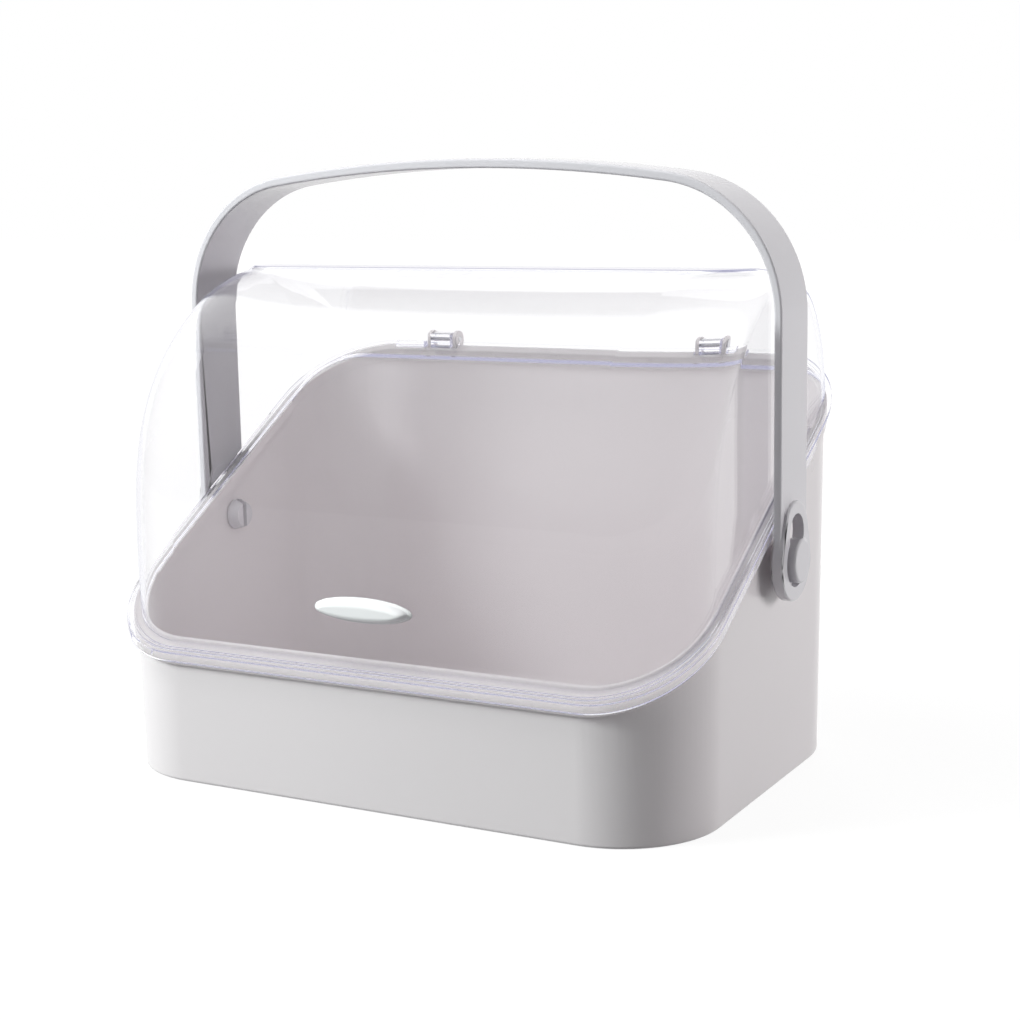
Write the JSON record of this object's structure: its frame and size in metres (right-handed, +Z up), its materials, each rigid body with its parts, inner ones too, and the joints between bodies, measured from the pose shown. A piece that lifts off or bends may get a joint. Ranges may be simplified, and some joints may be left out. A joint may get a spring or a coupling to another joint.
{
  "type": "cosmetic organizer box",
  "caption": "Portable cosmetic storage box: slant-rimmed open tub, clear domed lid hinged at the back, finger pull and swinging U-shaped carrying handle.",
  "frame": {"origin": "centre of the tub's flat base, on the surface that it stands on", "axes": "+X to the right along the width, +Y to the back where the lid hinges, +Z up"},
  "size_m": [0.3278, 0.2217, 0.2877],
  "materials": {
    "tub": "glossy white moulded plastic",
    "lid": "clear moulded plastic",
    "lid_pull": "glossy white moulded plastic",
    "handle": "glossy off-white moulded plastic",
    "pivot_pin": "glossy off-white moulded plastic",
    "hinge_pin": "bright steel wire"
  },
  "bodies": {
    "tub": {"tub": "tub", "pivot_pin_left": "pivot_pin", "pivot_pin_right": "pivot_pin", "hinge_pin_left": "hinge_pin", "hinge_pin_right": "hinge_pin"},
    "lid": {"lid": "lid", "lid_pull": "lid_pull"},
    "handle": {"handle": "handle"}
  },
  "joints": [
    {"name": "lid_hinge", "type": "hinge", "parent": "tub", "child": "lid", "pos_m": [0, 0.10856, 0.19353], "axis": [-1, 0, 0], "range_deg": [0, 7]},
    {"name": "handle_swing", "type": "hinge", "parent": "tub", "child": "handle", "pos_m": [0, 0.0065, 0.1075], "axis": [1, 0, 0], "range_deg": [-115, 115]}
  ]
}
